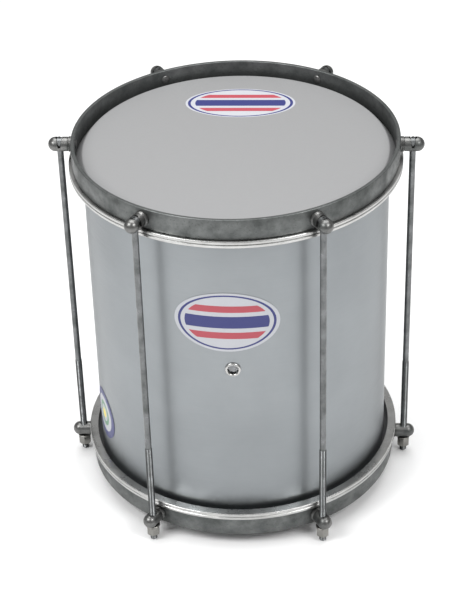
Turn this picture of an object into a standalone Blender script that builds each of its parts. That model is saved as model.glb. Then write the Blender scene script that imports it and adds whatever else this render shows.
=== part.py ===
"""A repinique: a two-headed aluminium drum drawn together by six tension rods.

Metres, +Z up. The drum's axis is Z, and the tips of the rods, on which it stands, are at Z = 0.
Two rods lie on the X axis, and the vent and the badge face -Y.
"""

import math

import bmesh
import bpy
from mathutils import Matrix, Vector

# Clearances
SEAT_GAP = 0.0003
RUNNING_GAP = 0.00008

# Shell: a thin tube with both ends turned in to make the bearing edges
SHELL_RADIUS = 0.1270
SHELL_HEIGHT = 0.2908
SHELL_WALL = 0.0012
EDGE_BEND_RADIUS = 0.0015
EDGE_LIP_REACH = 0.0050

# Heads: a film that bends over the bearing edge and ends in the flesh hoop's slot
FILM_THICKNESS = 0.0003
SKIRT_DEPTH = 0.0030

# Flesh hoops: a channel ring beside each end of the shell
FLESH_SHELL_GAP = 0.0039
FLESH_WIDTH = 0.0071
FLESH_HEIGHT = 0.0060
FLESH_LIP_THICKNESS = 0.0008
FLESH_LIP_DROP = 0.0005
FLESH_EDGE_CHAMFER = 0.0008
FLESH_GROOVE_WIDTH = 0.0012
FLESH_GROOVE_DEPTH = 0.0008

# Counterhoops: flat bar bent on edge, standing on the flesh hoops
HOOP_INSET = 0.0015
HOOP_THICKNESS = 0.0030
HOOP_HEIGHT = 0.0175
HOOP_RISE = 0.0107
HOOP_CHAMFER = 0.0005

# Tension lugs, riveted through the counterhoops at mid height
ROD_COUNT = 6
ROD_HOOP_DISTANCE = 0.0100
LUG_DIAMETER = 0.0122
LUG_END_BEYOND_ROD = 0.0097
LUG_COLLAR_DIAMETER = 0.0128
LUG_COLLAR_LENGTH = 0.0026
LUG_SPIGOT_DIAMETER = 0.0064
LUG_TAIL_DIAMETER = 0.0080
LUG_TAIL_HEIGHT = 0.0008
NOTCH_DEPTH = 0.0070
NOTCH_TOP_WIDTH = 0.0044
NOTCH_BOTTOM_WIDTH = 0.0022
SPOT_FACE_DEPTH = 0.0008
SPOT_FACE_DIAMETER = 0.0126

# Tension rods
ROD_STANDOUT = 0.0128
SHANK_DIAMETER = 0.0053
THREAD_DIAMETER = 0.0060
THREAD_LENGTH = 0.0990
THREAD_RUNOUT = 0.0010
TIP_CHAMFER = 0.0008
HEAD_SPAN = 0.0092
HEAD_ROOT_SPAN = 0.0080
HEAD_CROWN_DROP = 0.0002
PIP_DIAMETER = 0.0016
PIP_HEIGHT = 0.0009

# Washers and nuts
WASHER_DIAMETER = 0.0118
WASHER_THICKNESS = 0.0011
WASHER_HOLE_CLEARANCE = 0.0002
NUT_ACROSS_FLATS = 0.0100
NUT_HEIGHT = 0.0085
NUT_CHAMFER = 0.0009

# Vent eyelet, midway between two rods
VENT_HEIGHT = 0.1570
EYELET_BORE = 0.0086
EYELET_NECK_WALL = 0.0006
EYELET_FLANGE_DIAMETER = 0.0132
EYELET_CREST_HEIGHT = 0.0015
EYELET_SHOULDER_HEIGHT = 0.0012
EYELET_CREST_INSET = 0.0012
EYELET_TAIL_DIAMETER = 0.0122
EYELET_TAIL_THICKNESS = 0.0008

# Labels stuck on the shell
LABEL_THICKNESS = 0.0003
BADGE_WIDTH = 0.0860
BADGE_HEIGHT = 0.0560
BADGE_VENT_GAP = 0.0112
BADGE_ANGLE = math.radians(-91.8)
SEAL_DIAMETER = 0.0470
SEAL_RISE = 0.0507
SEAL_ANGLE = math.radians(-159.0)

# Facets round a turn
RING_STEPS = 48
ROUND_STEPS = 12
OUTLINE_STEPS = 24
BEND_STEPS = 3
NUT_SIDES = 6

# Sizes worked out from the ones above
SHELL_BASE = ROD_STANDOUT + HOOP_RISE + FILM_THICKNESS + SEAT_GAP
VENT_LEVEL = ROD_STANDOUT + HOOP_RISE + VENT_HEIGHT
BADGE_RISE = VENT_HEIGHT + EYELET_FLANGE_DIAMETER / 2 + BADGE_VENT_GAP + BADGE_HEIGHT / 2
MIDDLE = SHELL_BASE + SHELL_HEIGHT / 2
SHELL_HALF = SHELL_HEIGHT / 2
FILM_PLANE = SHELL_HALF + SEAT_GAP + FILM_THICKNESS
HOOP_TOP = FILM_PLANE + HOOP_RISE
HOOP_BASE = HOOP_TOP - HOOP_HEIGHT
FLESH_TOP = HOOP_BASE - SEAT_GAP
FLESH_BASE = FLESH_TOP - FLESH_HEIGHT
FLESH_INNER = SHELL_RADIUS + FLESH_SHELL_GAP
FLESH_OUTER = FLESH_INNER + FLESH_WIDTH
SLOT_INNER = FLESH_INNER + FLESH_LIP_THICKNESS
SLOT_WIDTH = FILM_THICKNESS + 2 * SEAT_GAP
SLOT_MIDDLE = SLOT_INNER + SLOT_WIDTH / 2
HOOP_INNER = FLESH_INNER + HOOP_INSET
HOOP_OUTER = HOOP_INNER + HOOP_THICKNESS
ROD_CIRCLE = HOOP_OUTER + ROD_HOOP_DISTANCE
LUG_OFFSET = HOOP_TOP - HOOP_HEIGHT / 2
TOP_LUG_HEIGHT = MIDDLE + LUG_OFFSET
BOTTOM_LUG_HEIGHT = MIDDLE - LUG_OFFSET
LUG_RADIUS = LUG_DIAMETER / 2
ROD_HOLE_DIAMETER = THREAD_DIAMETER + 2 * SEAT_GAP
SPOT_FACE_HEIGHT = BOTTOM_LUG_HEIGHT - LUG_RADIUS + SPOT_FACE_DEPTH
WASHER_BASE = SPOT_FACE_HEIGHT - SEAT_GAP - WASHER_THICKNESS
NUT_BASE = WASHER_BASE - SEAT_GAP - NUT_HEIGHT
PAST = 0.002


def clear_scene():
    """Remove every object, so that the script can be run again in an open file."""
    for item in list(bpy.data.objects):
        bpy.data.objects.remove(item, do_unlink=True)


def collection(name):
    """Return a new collection linked to the scene."""
    made = bpy.data.collections.new(name)
    bpy.context.scene.collection.children.link(made)
    return made


def material(name, colour, roughness, metallic):
    """Return a Principled material of one colour."""
    made = bpy.data.materials.new(name)
    made.use_nodes = True
    shader = made.node_tree.nodes["Principled BSDF"]
    shader.inputs["Base Color"].default_value = (*colour, 1.0)
    shader.inputs["Roughness"].default_value = roughness
    shader.inputs["Metallic"].default_value = metallic
    made.diffuse_color = (*colour, 1.0)
    return made


def scratch_object(name, mesh):
    """Link a mesh as an object that is only used to make others."""
    made = bpy.data.objects.new(name, mesh)
    CUTTERS.objects.link(made)
    made.hide_render = True
    made.display_type = "WIRE"
    return made


def turned(name, outline, steps, closed=True):
    """Turn an outline of (radius, height) points round Z with a Screw modifier."""
    mesh = bpy.data.meshes.new(name)
    edges = [(i, i + 1) for i in range(len(outline) - 1)]
    if closed:
        edges.append((len(outline) - 1, 0))
    mesh.from_pydata([(r, 0.0, h) for r, h in outline], edges, [])
    made = scratch_object(name, mesh)
    screw = made.modifiers.new("Turn", "SCREW")
    screw.axis = "Z"
    screw.angle = 2 * math.pi
    screw.steps = steps
    screw.render_steps = steps
    screw.use_merge_vertices = True
    screw.merge_threshold = 0.00001
    screw.use_smooth_shade = True
    return made


def cylinder(name, diameter, low, high, steps=ROUND_STEPS):
    """Return a cylinder along Z between two heights."""
    mesh = bpy.data.meshes.new(name)
    made = bmesh.new()
    bmesh.ops.create_cone(
        made,
        cap_ends=True,
        segments=steps,
        radius1=diameter / 2,
        radius2=diameter / 2,
        depth=high - low,
        matrix=Matrix.Translation((0, 0, (low + high) / 2)),
    )
    made.to_mesh(mesh)
    made.free()
    return scratch_object(name, mesh)


def prism(name, outline, depth):
    """Return a flat outline in the XZ plane, thickened along Y by depth about the plane."""
    curve = bpy.data.curves.new(name, "CURVE")
    curve.dimensions = "2D"
    curve.fill_mode = "BOTH"
    curve.extrude = depth / 2
    spline = curve.splines.new("POLY")
    spline.points.add(len(outline) - 1)
    for point, (x, z) in zip(spline.points, outline):
        point.co = (x, z, 0.0, 1.0)
    spline.use_cyclic_u = True
    drawn = scratch_object(name, curve)
    drawn.matrix_world = Matrix.Rotation(math.pi / 2, 4, "X")
    mesh = evaluated_mesh(drawn)
    mesh.transform(drawn.matrix_world)
    weld(mesh)
    bpy.data.objects.remove(drawn)
    return scratch_object(name, mesh)


def weld(mesh):
    """Join the vertices that lie at one place, and turn the faces outwards."""
    made = bmesh.new()
    made.from_mesh(mesh)
    bmesh.ops.remove_doubles(made, verts=made.verts, dist=0.00001)
    bmesh.ops.recalc_face_normals(made, faces=made.faces)
    made.to_mesh(mesh)
    made.free()


def evaluated_mesh(item):
    """Return a new mesh of an object with its modifiers applied, in its own space."""
    bpy.context.view_layer.update()
    graph = bpy.context.evaluated_depsgraph_get()
    return bpy.data.meshes.new_from_object(item.evaluated_get(graph))


def combine(base, tool, operation):
    """Cut base with tool, join them, or keep what they share, and return the result as an object."""
    boolean = base.modifiers.new(operation.title(), "BOOLEAN")
    boolean.operation = operation
    boolean.object = tool
    boolean.solver = "EXACT"
    mesh = evaluated_mesh(base)
    made = scratch_object(base.name, mesh)
    bpy.data.objects.remove(base)
    bpy.data.objects.remove(tool)
    return made


def bake_turn(shape):
    """Apply an object's modifiers and its matrix to its mesh."""
    mesh = evaluated_mesh(shape)
    mesh.transform(shape.matrix_world)
    made = scratch_object(shape.name, mesh)
    bpy.data.objects.remove(shape)
    return made


def finish(shape, names, matrices, surface):
    """Place one copy of a finished shape for each name and matrix, and remove the shape."""
    mesh = evaluated_mesh(shape)
    bpy.data.objects.remove(shape)
    mesh.name = names[0]
    mesh.materials.clear()
    mesh.materials.append(surface)
    mesh.shade_smooth()
    mesh.set_sharp_from_angle(angle=math.radians(30))
    for name, matrix in zip(names, matrices):
        part = bpy.data.objects.new(name, mesh)
        part.matrix_world = matrix
        PARTS.objects.link(part)


def mirrored(outline, side):
    """Place an outline whose heights count outwards from the drum's middle at its top or bottom end."""
    if side > 0:
        return [(r, MIDDLE + h) for r, h in outline]
    return [(r, MIDDLE - h) for r, h in reversed(outline)]


def rod_angle(index):
    """Return the angle of a rod round the drum."""
    return 2 * math.pi * index / ROD_COUNT


def at_rods(height):
    """Return the matrices of the places on the rods' circle at a height, each with X outwards."""
    return [
        Matrix.Rotation(rod_angle(i), 4, "Z") @ Matrix.Translation((ROD_CIRCLE, 0, height))
        for i in range(ROD_COUNT)
    ]


def numbered(name):
    """Return one name for each rod."""
    return [f"{name}_{i + 1}" for i in range(ROD_COUNT)]


def arc(centre, radius, start, end, steps):
    """Return the points of an arc between two angles, both ends included."""
    return [
        (
            centre[0] + radius * math.cos(start + (end - start) * i / steps),
            centre[1] + radius * math.sin(start + (end - start) * i / steps),
        )
        for i in range(steps + 1)
    ]


def outward(angle, radius, height):
    """Return the matrix that turns Z to point out of the drum at an angle, a radius and a height."""
    place = Matrix.Rotation(angle, 4, "Z") @ Matrix.Translation((radius, 0, height))
    return place @ Matrix.Rotation(math.pi / 2, 4, "Y")


def build_shell(surface):
    """The tube: its ends are turned in over a small bend, and the vent's hole is cut in front."""
    bend_inner = max(EDGE_BEND_RADIUS - SHELL_WALL, 0.0002)
    centre = (SHELL_RADIUS - EDGE_BEND_RADIUS, SHELL_HALF - EDGE_BEND_RADIUS)
    lip_end = SHELL_RADIUS - EDGE_LIP_REACH
    outer_bend = arc(centre, EDGE_BEND_RADIUS, math.pi / 2, 0.0, BEND_STEPS)
    inner_bend = arc(centre, bend_inner, 0.0, math.pi / 2, 1)
    upper_outer = [(lip_end, MIDDLE + SHELL_HALF)] + mirrored(outer_bend, 1)
    upper_inner = mirrored(inner_bend, 1) + [(lip_end, MIDDLE + SHELL_HALF - SHELL_WALL)]
    lower_outer = mirrored(outer_bend, -1) + [(lip_end, MIDDLE - SHELL_HALF)]
    lower_inner = [(lip_end, MIDDLE - SHELL_HALF + SHELL_WALL)] + mirrored(inner_bend, -1)
    tube = turned("shell", upper_outer + lower_outer + lower_inner + upper_inner, RING_STEPS)
    hole_diameter = EYELET_BORE + 2 * (EYELET_NECK_WALL + SEAT_GAP)
    drill = cylinder("vent_drill", hole_diameter, -SHELL_WALL - PAST, PAST)
    drill.matrix_world = outward(-math.pi / 2, SHELL_RADIUS, VENT_LEVEL)
    finish(combine(tube, drill, "DIFFERENCE"), ["shell"], [Matrix()], surface)


def build_vent(surface):
    """The eyelet: a rolled flange outside, a neck through the wall and a flattened tail inside."""
    bore = EYELET_BORE / 2
    neck = bore + EYELET_NECK_WALL
    flange = EYELET_FLANGE_DIAMETER / 2
    tail = EYELET_TAIL_DIAMETER / 2
    facet_drop = tail * math.tan(math.pi / RING_STEPS)
    tail_face = -SHELL_WALL - facet_drop - SEAT_GAP
    outline = [
        (bore + EYELET_CREST_INSET / 2, EYELET_SHOULDER_HEIGHT),
        (bore + EYELET_CREST_INSET, EYELET_CREST_HEIGHT),
        (flange - EYELET_CREST_INSET / 2, EYELET_SHOULDER_HEIGHT),
        (flange, SEAT_GAP),
        (neck, SEAT_GAP),
        (neck, tail_face),
        (tail, tail_face),
        (tail, tail_face - EYELET_TAIL_THICKNESS),
        (bore, tail_face - EYELET_TAIL_THICKNESS),
        (bore, SEAT_GAP),
    ]
    eyelet = turned("vent_eyelet", outline, ROUND_STEPS)
    place = outward(-math.pi / 2, SHELL_RADIUS, VENT_LEVEL)
    finish(eyelet, ["vent_eyelet"], [place], surface)


def film_line():
    """The middle line of the film: across the drum, over the bearing edge and into the slot."""
    bend = EDGE_BEND_RADIUS + SEAT_GAP + FILM_THICKNESS / 2
    centre = Vector((SHELL_RADIUS - EDGE_BEND_RADIUS, SHELL_HALF - EDGE_BEND_RADIUS))
    slot = Vector((SLOT_MIDDLE, FLESH_TOP))
    reach = slot - centre
    leave = math.atan2(reach.y, reach.x) + math.acos(bend / reach.length)
    over_edge = arc(centre, bend, math.pi / 2, leave, BEND_STEPS)
    skirt_end = (SLOT_MIDDLE, FLESH_TOP - SKIRT_DEPTH)
    return [(0.0, FILM_PLANE - FILM_THICKNESS / 2)] + over_edge + [tuple(slot), skirt_end]


def build_head(name, side, surface):
    """A film of even thickness on its middle line."""
    film = turned(name, mirrored(film_line(), side), RING_STEPS, closed=False)
    thicken = film.modifiers.new("Film", "SOLIDIFY")
    thicken.thickness = FILM_THICKNESS
    thicken.offset = 0.0
    thicken.use_even_offset = True
    finish(film, [name], [Matrix()], surface)


def build_flesh_hoop(name, side, surface):
    """A channel ring: the film's slot near its inner face, and a groove round its outer face."""
    chamfer = FLESH_EDGE_CHAMFER
    middle = (FLESH_TOP + FLESH_BASE) / 2
    slot_floor = FLESH_TOP - SKIRT_DEPTH - SEAT_GAP
    outline = [
        (SLOT_INNER + SLOT_WIDTH, FLESH_TOP),
        (FLESH_OUTER - chamfer, FLESH_TOP),
        (FLESH_OUTER, FLESH_TOP - chamfer),
        (FLESH_OUTER, middle + FLESH_GROOVE_WIDTH / 2),
        (FLESH_OUTER - FLESH_GROOVE_DEPTH, middle),
        (FLESH_OUTER, middle - FLESH_GROOVE_WIDTH / 2),
        (FLESH_OUTER, FLESH_BASE + chamfer),
        (FLESH_OUTER - chamfer, FLESH_BASE),
        (FLESH_INNER, FLESH_BASE),
        (FLESH_INNER, FLESH_TOP - FLESH_LIP_DROP),
        (SLOT_INNER, FLESH_TOP - FLESH_LIP_DROP),
        (SLOT_INNER, slot_floor),
        (SLOT_INNER + SLOT_WIDTH, slot_floor),
    ]
    ring = turned(name, mirrored(outline, side), RING_STEPS)
    finish(ring, [name], [Matrix()], surface)


def build_counterhoop(name, side, surface):
    """A flat bar on edge with broken edges, drilled for the lugs' spigots."""
    chamfer = HOOP_CHAMFER
    outline = [
        (HOOP_INNER + chamfer, HOOP_TOP),
        (HOOP_OUTER - chamfer, HOOP_TOP),
        (HOOP_OUTER, HOOP_TOP - chamfer),
        (HOOP_OUTER, HOOP_BASE + chamfer),
        (HOOP_OUTER - chamfer, HOOP_BASE),
        (HOOP_INNER + chamfer, HOOP_BASE),
        (HOOP_INNER, HOOP_BASE + chamfer),
        (HOOP_INNER, HOOP_TOP - chamfer),
    ]
    ring = turned(name, mirrored(outline, side), RING_STEPS)
    for i in range(ROD_COUNT):
        hole_diameter = LUG_SPIGOT_DIAMETER + 2 * SEAT_GAP
        drill = cylinder("spigot_drill", hole_diameter, -HOOP_THICKNESS - PAST, PAST)
        drill.matrix_world = outward(rod_angle(i), HOOP_OUTER, MIDDLE + side * LUG_OFFSET)
        ring = combine(ring, drill, "DIFFERENCE")
    finish(ring, [name], [Matrix()], surface)


def lug_blank(name):
    """The turned lug on the X axis, X = 0 at the rod: domed end, barrel, collar, spigot and tail."""
    shoulder = -ROD_HOOP_DISTANCE + SEAT_GAP
    tail_face = -ROD_HOOP_DISTANCE - HOOP_THICKNESS - SEAT_GAP
    dome_length = min(LUG_RADIUS, LUG_END_BEYOND_ROD)
    dome_start = LUG_END_BEYOND_ROD - dome_length
    barrel_start = shoulder + LUG_COLLAR_LENGTH
    collar = LUG_COLLAR_DIAMETER / 2
    dome = [
        (LUG_RADIUS * math.sin(angle), dome_start + dome_length * math.cos(angle))
        for angle in (0.0, math.radians(25), math.radians(50), math.radians(75))
    ]
    outline = dome + [
        (LUG_RADIUS, barrel_start),
        (collar, barrel_start - (collar - LUG_RADIUS)),
        (collar, shoulder),
        (LUG_SPIGOT_DIAMETER / 2, shoulder),
        (LUG_SPIGOT_DIAMETER / 2, tail_face),
        (LUG_TAIL_DIAMETER / 2, tail_face),
        (LUG_TAIL_DIAMETER / 4, tail_face - LUG_TAIL_HEIGHT),
        (0.0, tail_face - LUG_TAIL_HEIGHT),
    ]
    lug = turned(name, outline, ROUND_STEPS, closed=False)
    lug.matrix_world = Matrix.Rotation(math.pi / 2, 4, "Y")
    return lug


def wedge_outline(bottom_width, top_width, bottom, top):
    """A symmetric four-sided outline that widens upwards."""
    return [
        (-bottom_width / 2, bottom),
        (bottom_width / 2, bottom),
        (top_width / 2, top),
        (-top_width / 2, top),
    ]


def notch_width(height, clearance):
    """The width of the notch at a height over the lug's axis, less a clearance on each side."""
    bottom = LUG_RADIUS - NOTCH_DEPTH
    slope = (NOTCH_TOP_WIDTH - NOTCH_BOTTOM_WIDTH) / NOTCH_DEPTH
    return NOTCH_BOTTOM_WIDTH + slope * (height - bottom) - 2 * clearance


def build_top_lugs(surface):
    """Lugs with a hole for the rod and a V notch across the top that takes the rod's head."""
    lug = bake_turn(lug_blank("top_lug"))
    hole = cylinder("rod_hole", ROD_HOLE_DIAMETER, -LUG_DIAMETER, LUG_DIAMETER)
    lug = combine(lug, hole, "DIFFERENCE")
    bottom = LUG_RADIUS - NOTCH_DEPTH
    top = LUG_RADIUS + PAST
    outline = wedge_outline(notch_width(bottom, 0.0), notch_width(top, 0.0), bottom, top)
    lug = combine(lug, prism("notch", outline, LUG_COLLAR_DIAMETER + 2 * PAST), "DIFFERENCE")
    finish(lug, numbered("top_lug"), at_rods(TOP_LUG_HEIGHT), surface)


def build_bottom_lugs(surface):
    """Lugs with a hole for the rod, open-mouthed above and faced flat below for the washer."""
    lug = bake_turn(lug_blank("bottom_lug"))
    hole = cylinder("rod_hole", ROD_HOLE_DIAMETER, -LUG_DIAMETER, LUG_DIAMETER)
    lug = combine(lug, hole, "DIFFERENCE")
    facing = cylinder("facing", SPOT_FACE_DIAMETER, -LUG_DIAMETER, SPOT_FACE_DEPTH - LUG_RADIUS)
    lug = combine(lug, facing, "DIFFERENCE")
    finish(lug, numbered("bottom_lug"), at_rods(BOTTOM_LUG_HEIGHT), surface)


def rod_head():
    """The rod's flattened end: fish-tailed across the lug, wedged along it, and crowned like it."""
    bottom = LUG_RADIUS - NOTCH_DEPTH + SEAT_GAP
    top = LUG_RADIUS + PAST
    wedge = wedge_outline(notch_width(bottom, SEAT_GAP), notch_width(top, SEAT_GAP), bottom, top)
    head = prism("tension_rod", wedge, HEAD_SPAN)
    tail = prism("fish_tail", wedge_outline(HEAD_ROOT_SPAN, HEAD_SPAN, bottom, LUG_RADIUS), LUG_DIAMETER)
    tail.matrix_world = Matrix.Rotation(math.pi / 2, 4, "Z")
    head = combine(head, tail, "INTERSECT")
    crown_radius = LUG_RADIUS - HEAD_CROWN_DROP
    crown = cylinder("crown", 2 * crown_radius, -LUG_DIAMETER, LUG_DIAMETER, OUTLINE_STEPS)
    crown.matrix_world = Matrix.Rotation(math.pi / 2, 4, "Y")
    return combine(head, crown, "INTERSECT")


def build_rods(surface):
    """Rods: a domed tip, a thread rolled thicker than the shank, and the head in its notch."""
    thread = THREAD_DIAMETER / 2
    shank = SHANK_DIAMETER / 2
    shank_top = TOP_LUG_HEIGHT + LUG_RADIUS - NOTCH_DEPTH + SHANK_DIAMETER / 4
    outline = [
        (0.0, shank_top),
        (shank, shank_top),
        (shank, THREAD_LENGTH + THREAD_RUNOUT),
        (thread, THREAD_LENGTH),
        (thread, TIP_CHAMFER),
        (thread - TIP_CHAMFER, 0.0),
        (0.0, 0.0),
    ]
    rod = turned("tension_rod", outline, ROUND_STEPS, closed=False)
    head = rod_head()
    head.matrix_world = Matrix.Translation((0, 0, TOP_LUG_HEIGHT))
    rod = combine(rod, head, "UNION")
    crown = TOP_LUG_HEIGHT + LUG_RADIUS - HEAD_CROWN_DROP
    pip = cylinder("pip", PIP_DIAMETER, crown - PIP_HEIGHT, crown + PIP_HEIGHT, ROUND_STEPS // 2)
    rod = combine(rod, pip, "UNION")
    finish(rod, numbered("tension_rod"), at_rods(0.0), surface)


def build_washers(surface):
    """Flat washers under the bottom lugs."""
    hole = THREAD_DIAMETER / 2 + WASHER_HOLE_CLEARANCE
    outline = [
        (hole, WASHER_THICKNESS),
        (WASHER_DIAMETER / 2, WASHER_THICKNESS),
        (WASHER_DIAMETER / 2, 0.0),
        (hole, 0.0),
    ]
    washer = turned("washer", outline, ROUND_STEPS)
    finish(washer, numbered("washer"), at_rods(WASHER_BASE), surface)


def build_nuts(surface):
    """Tall hexagon nuts with chamfered ends, running on the rods' threads."""
    corner = NUT_ACROSS_FLATS / math.cos(math.pi / 6) / 2
    rim = corner - NUT_CHAMFER
    drop = NUT_CHAMFER * math.tan(math.pi / 6)
    outline = [
        (0.0, NUT_HEIGHT),
        (rim, NUT_HEIGHT),
        (corner, NUT_HEIGHT - drop),
        (corner, drop),
        (rim, 0.0),
        (0.0, 0.0),
    ]
    nut = turned("tension_nut", outline, NUT_SIDES, closed=False)
    bore_diameter = (THREAD_DIAMETER + 2 * RUNNING_GAP) / math.cos(math.pi / ROUND_STEPS)
    bore = cylinder("bore", bore_diameter, -PAST, NUT_HEIGHT + PAST)
    nut = combine(nut, bore, "DIFFERENCE")
    finish(nut, numbered("tension_nut"), at_rods(NUT_BASE), surface)


def build_label(name, width, height, rise, angle, surface):
    """A thin oval label that follows the shell's curve."""
    inner = SHELL_RADIUS + SEAT_GAP
    outer = inner + LABEL_THICKNESS
    centre = ROD_STANDOUT + HOOP_RISE + rise
    low = centre - height / 2 - PAST
    high = centre + height / 2 + PAST
    band = turned(name, [(inner, high), (outer, high), (outer, low), (inner, low)], RING_STEPS)
    stamp = cylinder("stamp", 1.0, -SHELL_RADIUS / 2, PAST, OUTLINE_STEPS)
    stamp.data.transform(Matrix.Diagonal((height, width, 1.0, 1.0)))
    stamp.matrix_world = outward(angle, outer, centre)
    finish(combine(band, stamp, "INTERSECT"), [name], [Matrix()], surface)


def build():
    """Build the drum."""
    satin = material("satin_aluminium", (0.56, 0.57, 0.57), 0.42, 1.0)
    bright = material("bright_aluminium", (0.62, 0.62, 0.61), 0.32, 1.0)
    dull_steel = material("dull_steel", (0.25, 0.25, 0.24), 0.5, 1.0)
    rod_steel = material("rod_steel", (0.3, 0.3, 0.3), 0.38, 1.0)
    zinc = material("bright_zinc", (0.6, 0.58, 0.52), 0.35, 1.0)
    film = material("milky_film", (0.6, 0.6, 0.57), 0.5, 0.0)
    label = material("white_label", (0.78, 0.79, 0.82), 0.45, 0.0)
    build_shell(satin)
    build_vent(bright)
    for name, side in (("top", 1), ("bottom", -1)):
        build_head(f"{name}_head", side, film)
        build_flesh_hoop(f"{name}_flesh_hoop", side, bright)
        build_counterhoop(f"{name}_counterhoop", side, dull_steel)
    build_top_lugs(dull_steel)
    build_bottom_lugs(dull_steel)
    build_rods(rod_steel)
    build_washers(zinc)
    build_nuts(zinc)
    build_label("front_badge", BADGE_WIDTH, BADGE_HEIGHT, BADGE_RISE, BADGE_ANGLE, label)
    build_label("side_seal", SEAL_DIAMETER, SEAL_DIAMETER, SEAL_RISE, SEAL_ANGLE, label)


clear_scene()
PARTS = collection("repinique")
CUTTERS = collection("repinique_cutters")
build()
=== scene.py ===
"""The repinique dressed for rendering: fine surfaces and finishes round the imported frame."""

import math

import bmesh
import bpy
from mathutils import Matrix, Vector


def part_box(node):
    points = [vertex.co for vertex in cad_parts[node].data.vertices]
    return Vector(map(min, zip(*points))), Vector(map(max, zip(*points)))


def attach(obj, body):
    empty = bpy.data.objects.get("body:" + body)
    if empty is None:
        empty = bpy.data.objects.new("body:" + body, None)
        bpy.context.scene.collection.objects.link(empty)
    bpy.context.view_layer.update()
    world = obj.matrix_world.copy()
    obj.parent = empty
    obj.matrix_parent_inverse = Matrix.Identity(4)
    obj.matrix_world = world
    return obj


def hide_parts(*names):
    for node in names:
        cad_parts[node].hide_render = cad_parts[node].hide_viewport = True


bl_info = {
    "name": "Repinique",
    "version": (1, 0, 0),
    "blender": (4, 5, 0),
    "location": "View3D > Sidebar > Repinique",
    "description": "Builds a two-headed samba drum with its rods, lugs and nuts",
    "category": "Add Mesh",
}

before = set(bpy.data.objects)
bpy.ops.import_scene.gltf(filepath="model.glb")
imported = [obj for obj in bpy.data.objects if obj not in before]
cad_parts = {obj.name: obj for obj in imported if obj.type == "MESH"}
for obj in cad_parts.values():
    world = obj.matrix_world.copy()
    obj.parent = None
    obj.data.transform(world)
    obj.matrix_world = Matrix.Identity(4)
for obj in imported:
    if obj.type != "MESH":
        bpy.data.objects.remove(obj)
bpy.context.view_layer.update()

# Clearances
SEAT_GAP = 0.0003
PAST = 0.002

# Shell and heads
SHELL_RADIUS = 0.1270
SHELL_HEIGHT = 0.2908
SHELL_WALL = 0.0012
EDGE_BEND_RADIUS = 0.0015
EDGE_LIP_REACH = 0.0050
FILM_THICKNESS = 0.0003
SKIRT_DEPTH = 0.0030

# Flesh hoops
FLESH_SHELL_GAP = 0.0039
FLESH_WIDTH = 0.0071
FLESH_HEIGHT = 0.0060
FLESH_LIP_THICKNESS = 0.0008
FLESH_LIP_DROP = 0.0005
FLESH_EDGE_ROUND = 0.0008
FLESH_GROOVE_WIDTH = 0.0012
FLESH_GROOVE_DEPTH = 0.0008

# Counterhoops
HOOP_INSET = 0.0015
HOOP_THICKNESS = 0.0030
HOOP_HEIGHT = 0.0175
HOOP_RISE = 0.0107
HOOP_ROUND = 0.0005

# Lugs
ROD_COUNT = 6
ROD_HOOP_DISTANCE = 0.0100
LUG_DIAMETER = 0.0122
LUG_END_BEYOND_ROD = 0.0097
LUG_COLLAR_DIAMETER = 0.0128
LUG_COLLAR_LENGTH = 0.0026
LUG_GROOVE_DEPTH = 0.0003
LUG_SPIGOT_DIAMETER = 0.0064
LUG_TAIL_DIAMETER = 0.0080
LUG_TAIL_HEIGHT = 0.0008
LUG_TAIL_ANGLES = tuple(math.radians(angle) for angle in (25, 50, 70))
NOTCH_DEPTH = 0.0070
NOTCH_TOP_WIDTH = 0.0044
NOTCH_BOTTOM_WIDTH = 0.0022
SPOT_FACE_DEPTH = 0.0008
SPOT_FACE_DIAMETER = 0.0126

# Rods, washers and nuts
ROD_STANDOUT = 0.0128
SHANK_DIAMETER = 0.0053
THREAD_DIAMETER = 0.0060
THREAD_LENGTH = 0.0990
THREAD_DEPTH = 0.0005
TIP_ROUND = 0.0008
HEAD_SPAN = 0.0092
HEAD_ROOT_SPAN = 0.0080
HEAD_CROWN_DROP = 0.0002
PIP_DIAMETER = 0.0016
PIP_HEIGHT = 0.0009
NUT_BORE_GAP = 0.0001
NUT_CHAMFER = 0.0009
NUT_EDGE_ROUND = 0.00015

# Vent eyelet
VENT_HEIGHT = 0.1570
EYELET_BORE = 0.0086
EYELET_NECK_WALL = 0.0006
EYELET_FLANGE_DIAMETER = 0.0132
EYELET_CREST_HEIGHT = 0.0015
EYELET_TAIL_DIAMETER = 0.0122
EYELET_TAIL_THICKNESS = 0.0008
EYELET_TAIL_FACE = -0.0019

# Printed labels and the print on the head
BADGE_WIDTH = 0.0860
BADGE_HEIGHT = 0.0560
BADGE_VENT_GAP = 0.0112
BADGE_ANGLE = math.radians(-91.8)
SEAL_DIAMETER = 0.0470
SEAL_RISE = 0.0507
SEAL_ANGLE = math.radians(-159.0)
LABEL_LIFT = 0.00008
PRINT_CENTRE = (0.001, 0.0755)
PRINT_HALF = (0.0485, 0.0265)

# Facets
RING_STEPS = 240
ROUND_STEPS = 36
BEND_STEPS = 8
THREAD_ROUND_STEPS = 24
THREAD_ROWS_A_TURN = 8
HOOP_ROUND_STEPS = 3
NUT_SIDES = 6
SMOOTH_ANGLE = math.radians(38)
MERGE_DISTANCE = 0.000005
LABEL_STEPS = 96

# The photograph's camera
CAMERA_PLACE = (0.0737, -1.3487, 1.0686)
CAMERA_YAW = math.radians(-3.248)
CAMERA_PITCH = math.radians(33.846)
CAMERA_ROLL = math.radians(-1.605)
CAMERA_LENS = 142.47
SENSOR_WIDTH = 36.0

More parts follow.
